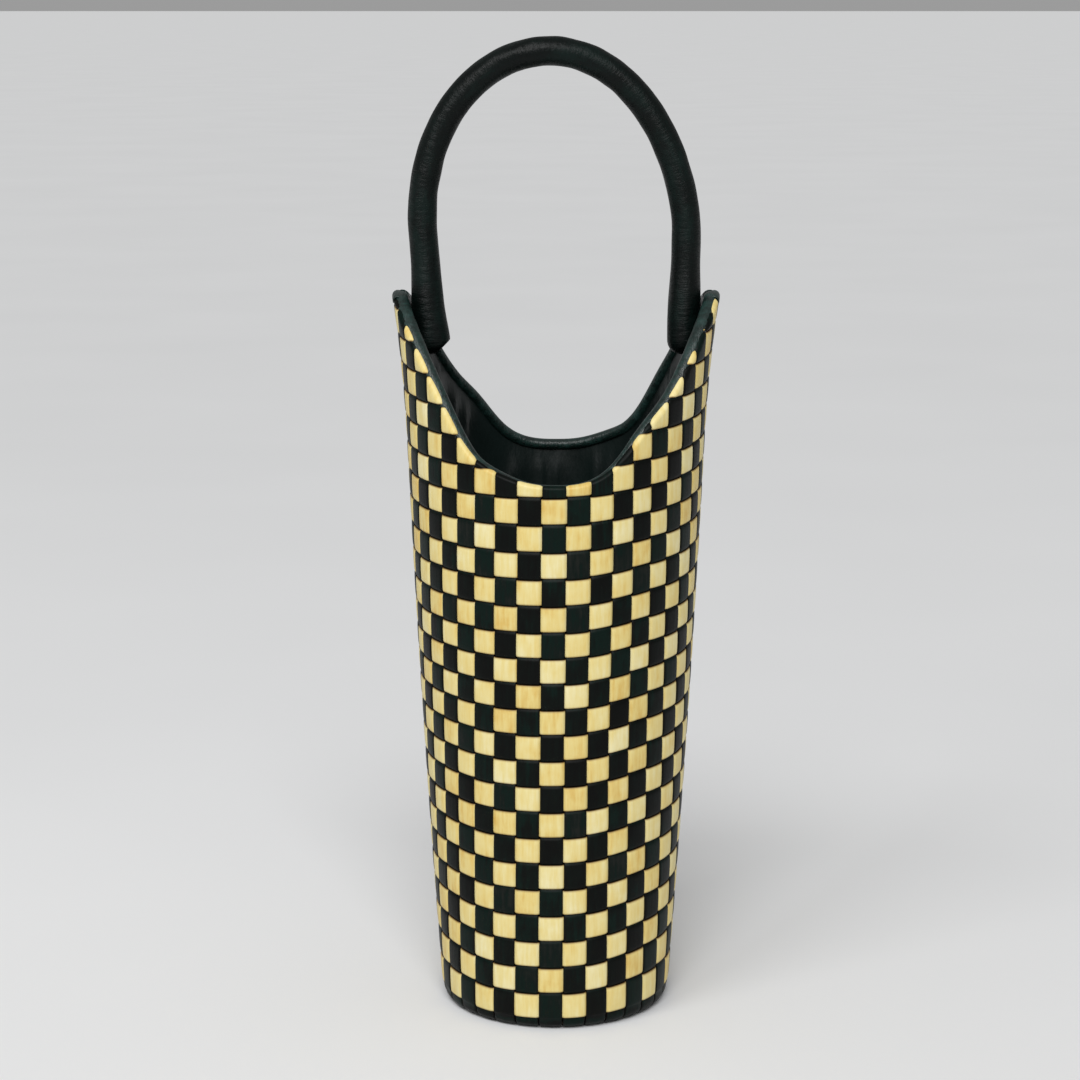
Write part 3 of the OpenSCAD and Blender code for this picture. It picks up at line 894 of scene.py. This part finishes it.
class Nodes:
    """A small helper for writing a material as a few lines of nodes."""

    def __init__(self, name):
        self.material = bpy.data.materials.new(name)
        self.material.use_nodes = True
        self.tree = self.material.node_tree
        self.shader = self.tree.nodes["Principled BSDF"]

    def add(self, kind, **values):
        """Adds a node. Each value is a setting of it, or else one of its inputs."""
        node = self.tree.nodes.new(kind)
        for key, value in values.items():
            if hasattr(node, key):
                setattr(node, key, value)
            else:
                node.inputs[key].default_value = value
        return node

    def link(self, source, target):
        self.tree.links.new(source, target)

    def attribute(self, name, output="Vector"):
        return self.add("ShaderNodeAttribute", attribute_name=name).outputs[output]

    def noise(self, vector, stretch, scale, detail, roughness):
        """Cloudy noise from 0 to 1. stretch is how fast it changes along each axis."""
        mapping = self.add("ShaderNodeMapping")
        mapping.inputs["Scale"].default_value = stretch
        self.link(vector, mapping.inputs["Vector"])
        node = self.add("ShaderNodeTexNoise", Scale=scale, Detail=detail, Roughness=roughness)
        self.link(mapping.outputs["Vector"], node.inputs["Vector"])
        return node.outputs["Fac"]

    def ramp(self, value, stops):
        """Maps a value to a colour between the stops."""
        node = self.add("ShaderNodeValToRGB")
        elements = node.color_ramp.elements
        while len(elements) < len(stops):
            elements.new(0.5)
        for element, (position, colour) in zip(elements, stops):
            element.position = position
            element.color = tuple(colour) + (1,)
        self.link(value, node.inputs["Fac"])
        return node.outputs["Color"]

    def mix(self, factor, a, b):
        """The colour a, or b where factor is 1."""
        node = self.add("ShaderNodeMix", data_type="RGBA")
        for value, name in ((factor, 0), (a, 6), (b, 7)):
            if isinstance(value, (int, float, tuple)):
                node.inputs[name].default_value = value if name == 0 else tuple(value) + (1,)
            else:
                self.link(value, node.inputs[name])
        return node.outputs[2]

    def math(self, operation, a, b):
        node = self.add("ShaderNodeMath", operation=operation)
        for i, value in enumerate((a, b)):
            if isinstance(value, (int, float)):
                node.inputs[i].default_value = value
            else:
                self.link(value, node.inputs[i])
        return node.outputs[0]

    def span(self, value, low, high):
        """Maps 0 to 1 onto low to high."""
        node = self.add("ShaderNodeMapRange")
        node.inputs["To Min"].default_value = low
        node.inputs["To Max"].default_value = high
        self.link(value, node.inputs["Value"])
        return node.outputs["Result"]

    def bump(self, value, distance, strength, below=None):
        """A surface direction roughened by value, on top of the roughness below."""
        node = self.add("ShaderNodeBump")
        node.inputs["Strength"].default_value = strength
        node.inputs["Distance"].default_value = distance
        self.link(value, node.inputs["Height"])
        if below is not None:
            self.link(below, node.inputs["Normal"])
        return node.outputs["Normal"]


def strip_leather(name, stops, gap_shade_colour, vary, rough, shine):
    """Coated strip leather: streaks and clouds, with a tone for each cell and painted shade of the
    gaps between strips along its edges and underside.
    """
    n = Nodes(name)
    cloth = n.attribute("cloth")
    tone = n.attribute("tone", "Fac")
    streaks = n.noise(cloth, (0.55, 0.06, 1), 1.0, 4, 0.6)
    clouds = n.noise(cloth, (0.12, 0.1, 1), 1.0, 3, 0.5)
    mixed = n.math("ADD", n.math("MULTIPLY", streaks, 0.55), n.math("MULTIPLY", clouds, 0.45))
    shade = n.math("ADD", n.math("MULTIPLY", mixed, 1.5), n.math("MULTIPLY", tone, vary))
    shade = n.math("SUBTRACT", shade, 0.25 + vary / 2)
    # Painted shade of the gaps between strips, laid on the strips' edges and undersides
    colour = n.mix(n.attribute("edge", "Fac"), n.ramp(shade, stops), gap_shade_colour)
    n.link(colour, n.shader.inputs["Base Color"])
    grain = n.noise(cloth, (1, 1, 1), 3.2, 5, 0.6)
    normal = n.bump(grain, 0.00012, 0.5)
    normal = n.bump(streaks, 0.00025, 0.45, normal)
    n.link(normal, n.shader.inputs["Normal"])
    n.link(n.span(grain, rough - 0.07, rough + 0.1), n.shader.inputs["Roughness"])
    n.shader.inputs["Specular IOR Level"].default_value = shine
    return n.material


def soft_leather(name, stops, cloud_scale, rough, shine):
    """Glazed garment leather: cloudy dye, fine creases and a soft shine. With the binding's
    colours, its lighter clouds are also painted highlights.
    """
    n = Nodes(name)
    cloth = n.attribute("cloth")
    clouds = n.noise(cloth, (0.05, 0.11, 0.11), cloud_scale, 5, 0.65)
    fine = n.noise(cloth, (0.8, 0.8, 0.8), 1.4, 4, 0.6)
    shade = n.math("ADD", n.math("MULTIPLY", clouds, 0.75), n.math("MULTIPLY", fine, 0.25))
    n.link(n.ramp(shade, stops), n.shader.inputs["Base Color"])
    creases = n.noise(cloth, (0.5, 0.14, 0.14), 1.0, 4, 0.7)
    normal = n.bump(fine, 0.00012, 0.5)
    normal = n.bump(creases, 0.0012, 0.6, normal)
    n.link(normal, n.shader.inputs["Normal"])
    n.link(n.span(clouds, rough - 0.16, rough + 0.2), n.shader.inputs["Roughness"])
    n.shader.inputs["Specular IOR Level"].default_value = shine
    return n.material


def satin_cloth(name):
    """Dark satin with a fine weave and soft wrinkles."""
    n = Nodes(name)
    cloth = n.attribute("cloth")
    clouds = n.noise(cloth, (0.03, 0.03, 0.02), 1.0, 3, 0.5)
    n.link(n.ramp(clouds, [(0.3, (0.002, 0.004, 0.0036)), (0.7, (0.006, 0.012, 0.011))]),
           n.shader.inputs["Base Color"])
    weave = n.noise(cloth, (4, 4, 1.2), 1.0, 2, 0.5)
    wrinkle = n.noise(cloth, (0.12, 0.12, 0.05), 1.0, 4, 0.55)
    normal = n.bump(weave, 0.00006, 0.4)
    normal = n.bump(wrinkle, 0.0012, 0.5, normal)
    n.link(normal, n.shader.inputs["Normal"])
    n.link(n.span(weave, 0.26, 0.38), n.shader.inputs["Roughness"])
    n.shader.inputs["Specular IOR Level"].default_value = 0.55
    n.shader.inputs["Sheen Weight"].default_value = 0.03
    n.shader.inputs["Sheen Roughness"].default_value = 0.4
    return n.material


def fibrous(name, stops, stretch, rough, attribute=True):
    """Thread, felt, board and padding: matt fibres. A piece from the CAD has no attributes, so
    its fibres are placed by its own coordinates."""
    n = Nodes(name)
    if attribute:
        where = n.attribute("cloth")
    else:
        coords = n.add("ShaderNodeTexCoord")
        scaled = n.add("ShaderNodeVectorMath", operation="SCALE")
        scaled.inputs["Scale"].default_value = 1000
        n.link(coords.outputs["Object"], scaled.inputs[0])
        where = scaled.outputs["Vector"]
    fibres = n.noise(where, stretch, 1.0, 4, 0.65)
    n.link(n.ramp(fibres, stops), n.shader.inputs["Base Color"])
    n.link(n.bump(fibres, 0.0003, 0.6), n.shader.inputs["Normal"])
    n.link(n.span(fibres, rough - 0.08, rough + 0.08), n.shader.inputs["Roughness"])
    n.shader.inputs["Specular IOR Level"].default_value = 0.15
    return n.material


# Colours of each material from its darkest shade to its lightest
CREAM = [(0.12, (0.66, 0.43, 0.10)), (0.38, (0.75, 0.59, 0.21)), (0.6, (0.78, 0.66, 0.29)),
         (0.85, (0.83, 0.75, 0.43))]
GREEN = [(0.2, (0.0016, 0.0020, 0.0016)), (0.45, (0.002, 0.004, 0.003)),
         (0.62, (0.0015, 0.009, 0.0065)), (0.76, (0.003, 0.007, 0.0055)),
         (0.92, (0.010, 0.012, 0.010))]
HANDLE_GREEN = [(0.3, (0.0012, 0.0016, 0.0015)), (0.48, (0.0014, 0.0035, 0.003)),
                (0.6, (0.002, 0.008, 0.0066)), (0.75, (0.005, 0.008, 0.0072))]
# The binding's colours: mottled dye, whose lighter stops are also painted highlights
BINDING_DYE_AND_HIGHLIGHTS = [(0.3, (0.003, 0.005, 0.0045)), (0.48, (0.006, 0.018, 0.015)),
                 (0.62, (0.012, 0.038, 0.033)), (0.78, (0.03, 0.05, 0.045))]
THREAD = [(0.3, (0.004, 0.007, 0.007)), (0.7, (0.016, 0.026, 0.024))]
FELT = [(0.3, (0.008, 0.010, 0.010)), (0.7, (0.022, 0.026, 0.025))]
HIDDEN_FELT = [(0.3, (0.006, 0.007, 0.007)), (0.7, (0.014, 0.016, 0.015))]
BOARD = [(0.3, (0.20, 0.16, 0.11)), (0.7, (0.34, 0.28, 0.20))]
COTTON = [(0.3, (0.30, 0.28, 0.22)), (0.7, (0.5, 0.47, 0.4))]
# Painted shade of the gaps between strips, for each strip's edges
CREAM_GAP_SHADE = (0.16, 0.085, 0.025)
GREEN_GAP_SHADE = (0.004, 0.003, 0.0025)

cream_leather = strip_leather("cream_strip_leather", CREAM, CREAM_GAP_SHADE, 0.34, 0.44, 0.35)
green_leather = strip_leather("green_strip_leather", GREEN, GREEN_GAP_SHADE, 0.6, 0.42, 0.1)
binding_leather = soft_leather("green_binding_leather", BINDING_DYE_AND_HIGHLIGHTS, 3.0, 0.36, 0.5)
handle_leather = soft_leather("green_soft_leather", HANDLE_GREEN, 1.0, 0.38, 0.15)
satin = satin_cloth("green_satin")
thread = fibrous("dark_thread", THREAD, (2, 2, 2), 0.7)
felt = fibrous("dark_felt", FELT, (1.5, 1.5, 1.5), 0.9)
hidden_felt = fibrous("interlining_felt", HIDDEN_FELT, (1.5, 1.5, 0.6), 0.92, attribute=False)
board = fibrous("grey_board", BOARD, (1.2, 0.4, 1.2), 0.9, attribute=False)
padding = fibrous("cotton_padding", COTTON, (1.2, 1.2, 1.2), 0.95)

for node, material in (("interlining", hidden_felt), ("base_board", board)):
    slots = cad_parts[node].data.materials
    slots.clear()
    slots.append(material)


# ---- The bag ----

build_weave(cream_leather, green_leather)
build_side_seams(green_leather)
build_rim_binding(binding_leather, thread)
build_lining(satin)
build_lining_floor(satin)
build_base(handle_leather, thread)
build_handle_fixings(binding_leather, thread, felt)
build_handle(handle_leather, padding, thread)


# ---- Floor and light ----

SKY = 0.33
SUN = 1.8
SUN_SPREAD = math.radians(30)
SUN_TURN = (math.radians(47), 0, math.radians(-2))


def build_floor():
    data = bpy.data.meshes.new("floor")
    size = FLOOR_HALF_W
    data.from_pydata([(-size, -size, 0), (size, -size, 0), (size, size, 0), (-size, size, 0)],
                     [], [(0, 1, 2, 3)])
    floor = bpy.data.objects.new("floor", data)
    bpy.context.scene.collection.objects.link(floor)
    n = Nodes("pale_floor")
    coords = n.add("ShaderNodeTexCoord")
    cloud = n.noise(coords.outputs["Object"], (1, 1, 1), 3.0, 2, 0.5)
    n.link(n.ramp(cloud, [(0.3, (0.84, 0.845, 0.85)), (0.7, (0.86, 0.865, 0.87))]),
           n.shader.inputs["Base Color"])
    n.shader.inputs["Roughness"].default_value = 0.9
    n.shader.inputs["Specular IOR Level"].default_value = 0.0
    data.materials.append(n.material)


def add_area_light(name, location, target, size, power):
    data = bpy.data.lights.new(name, "AREA")
    data.size = size
    data.energy = power
    light = bpy.data.objects.new(name, data)
    light.location = location
    aim = Vector(target) - Vector(location)
    light.rotation_euler = aim.to_track_quat("-Z", "Y").to_euler()
    bpy.context.scene.collection.objects.link(light)


def build_light():
    """A pale sky, a soft high sun from in front, and a window on the left."""
    world = bpy.data.worlds.new("studio")
    world.use_nodes = True
    background = world.node_tree.nodes["Background"]
    background.inputs["Color"].default_value = (1, 1, 1, 1)
    background.inputs["Strength"].default_value = SKY
    bpy.context.scene.world = world
    sun = bpy.data.lights.new("sun", "SUN")
    sun.energy = SUN
    sun.angle = SUN_SPREAD
    lamp = bpy.data.objects.new("sun", sun)
    lamp.rotation_euler = SUN_TURN
    bpy.context.scene.collection.objects.link(lamp)
    add_area_light("window", (-0.55, -0.75, 1.15), (0, 0, 0.35), 0.45, 4.5)


build_floor()
build_light()
bpy.context.scene.view_settings.view_transform = "Standard"
